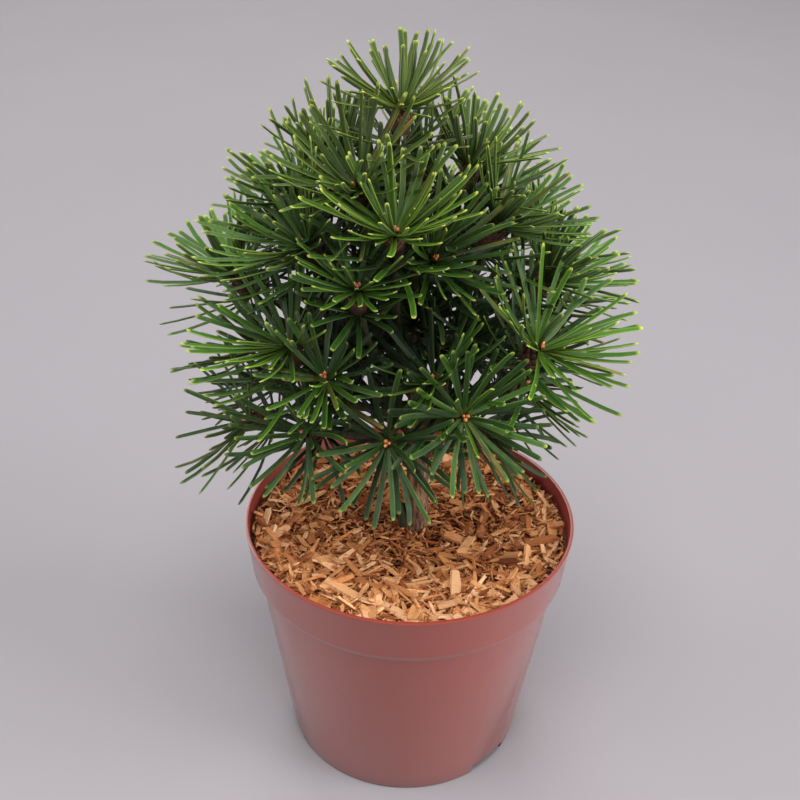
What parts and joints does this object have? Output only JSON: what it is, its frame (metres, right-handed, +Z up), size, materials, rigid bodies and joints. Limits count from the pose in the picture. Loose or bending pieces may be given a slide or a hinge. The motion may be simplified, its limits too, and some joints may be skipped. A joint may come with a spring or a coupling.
{
  "type": "potted umbrella pine",
  "caption": "Young umbrella pine with whorls of flat blunt needles on a short woody stem, in a tapered round nursery pot filled with soil and topped with wood chips.",
  "frame": {"origin": "centre of the pot's flat underside, which is where the pot rests", "axes": "+Z up along the pot's axis, -Y towards the side of the plant that is its front, +X to the right seen from the front"},
  "size_m": [0.2123, 0.1933, 0.3325],
  "materials": {
    "pot_plastic": "satin brick-red moulded plastic",
    "soil": "damp dark potting compost",
    "wood_chips": "dry tan and reddish wood chips and fibres",
    "bark": "rough brown fibrous bark",
    "needles": "waxy deep green with yellow-green tips"
  },
  "bodies": {
    "root": {"nursery_pot": "pot_plastic", "potting_soil": "soil", "wood_chip_mulch": "wood_chips", "stem_and_branches": "bark", "needle_whorl_01": "needles", "needle_whorl_02": "needles", "needle_whorl_03": "needles", "needle_whorl_04": "needles", "needle_whorl_05": "needles", "needle_whorl_06": "needles", "needle_whorl_07": "needles", "needle_whorl_08": "needles", "needle_whorl_09": "needles", "needle_whorl_10": "needles", "needle_whorl_11": "needles", "needle_whorl_12": "needles", "needle_whorl_13": "needles", "needle_whorl_14": "needles", "needle_whorl_15": "needles", "needle_whorl_16": "needles", "needle_whorl_17": "needles", "needle_whorl_18": "needles", "needle_whorl_19": "needles", "needle_whorl_20": "needles", "needle_whorl_21": "needles", "needle_whorl_22": "needles", "needle_whorl_23": "needles", "needle_whorl_24": "needles", "needle_whorl_25": "needles", "needle_whorl_26": "needles", "needle_whorl_27": "needles", "needle_whorl_28": "needles", "needle_whorl_29": "needles", "needle_whorl_30": "needles", "needle_whorl_31": "needles", "needle_whorl_32": "needles", "needle_whorl_33": "needles", "needle_whorl_34": "needles", "needle_whorl_35": "needles", "needle_whorl_36": "needles", "needle_whorl_37": "needles", "needle_whorl_38": "needles", "needle_whorl_39": "needles", "needle_whorl_40": "needles", "needle_whorl_41": "needles", "needle_whorl_42": "needles", "needle_whorl_43": "needles"}
  },
  "joints": []
}
